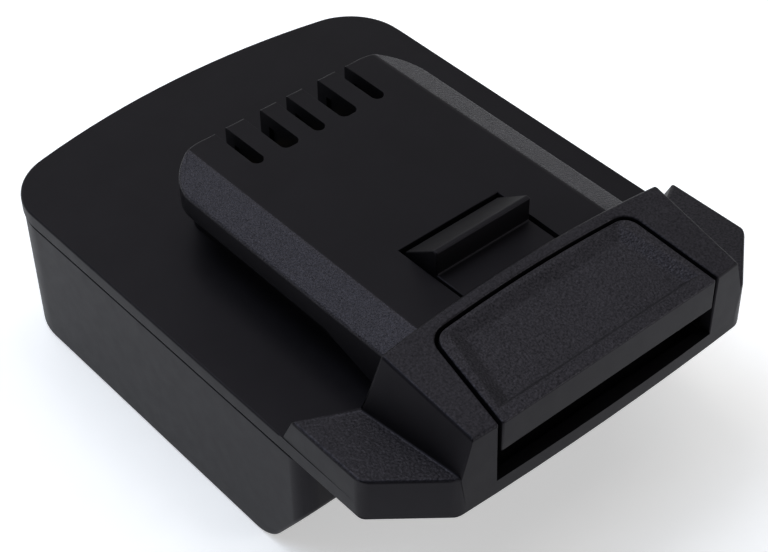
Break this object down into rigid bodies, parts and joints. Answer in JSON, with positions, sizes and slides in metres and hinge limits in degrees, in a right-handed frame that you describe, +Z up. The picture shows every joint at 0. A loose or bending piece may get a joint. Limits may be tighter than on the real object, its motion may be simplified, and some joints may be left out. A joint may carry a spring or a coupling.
{
  "type": "tool battery adapter",
  "caption": "Black slide-on tool battery adapter: box-shaped pack receiver below, T-shaped tool rail with terminal slots, sprung latch hook and wide release button above.",
  "frame": {"origin": "centre of the bounding box, on the plane of the underside", "axes": "+Z up through the tool rail, +Y towards the bowed rear wall where the tool slides on, -Y towards the release button, +X to the right as seen from the button"},
  "size_m": [0.076, 0.1028, 0.0435],
  "materials": {
    "cover_plastic": "moulded, fine spark-eroded grain",
    "housing_plastic": "moulded, smooth matt",
    "latch_plastic": "moulded, coarse grain on the button",
    "terminal_plastic": "moulded, smooth",
    "spring_steel": "drawn wire",
    "screw_steel": "zinc plated",
    "clip_brass": "stamped sheet",
    "blade_brass": "stamped sheet",
    "board_laminate": "solder mask",
    "resistor_body": "lacquer",
    "lead_red": "silicone insulation",
    "lead_black": "silicone insulation",
    "lead_white": "silicone insulation"
  },
  "bodies": {
    "housing": {"upper_cover": "cover_plastic", "lower_housing": "housing_plastic", "latch_spring_left": "spring_steel", "latch_spring_right": "spring_steel", "tool_terminal_block": "terminal_plastic", "positive_clip": "clip_brass", "negative_clip": "clip_brass", "signal_clip_left": "clip_brass", "signal_clip_centre": "clip_brass", "signal_clip_right": "clip_brass", "circuit_board": "board_laminate", "id_resistor": "resistor_body", "board_screws": "screw_steel", "battery_terminal_block": "terminal_plastic", "positive_blade": "blade_brass", "negative_blade": "blade_brass", "signal_blade": "blade_brass", "positive_lead": "lead_red", "negative_lead": "lead_black", "signal_lead": "lead_white", "housing_screws": "screw_steel"},
    "latch": {"release_latch": "latch_plastic"}
  },
  "joints": [
    {"name": "latch_press", "type": "slide", "parent": "housing", "child": "latch", "axis": [0, 0, -1], "range_m": [0, 0.0042], "stiffness_N_per_m": 1200, "springref_m": -0.003, "deforming": ["latch_spring_left", "latch_spring_right"]}
  ]
}
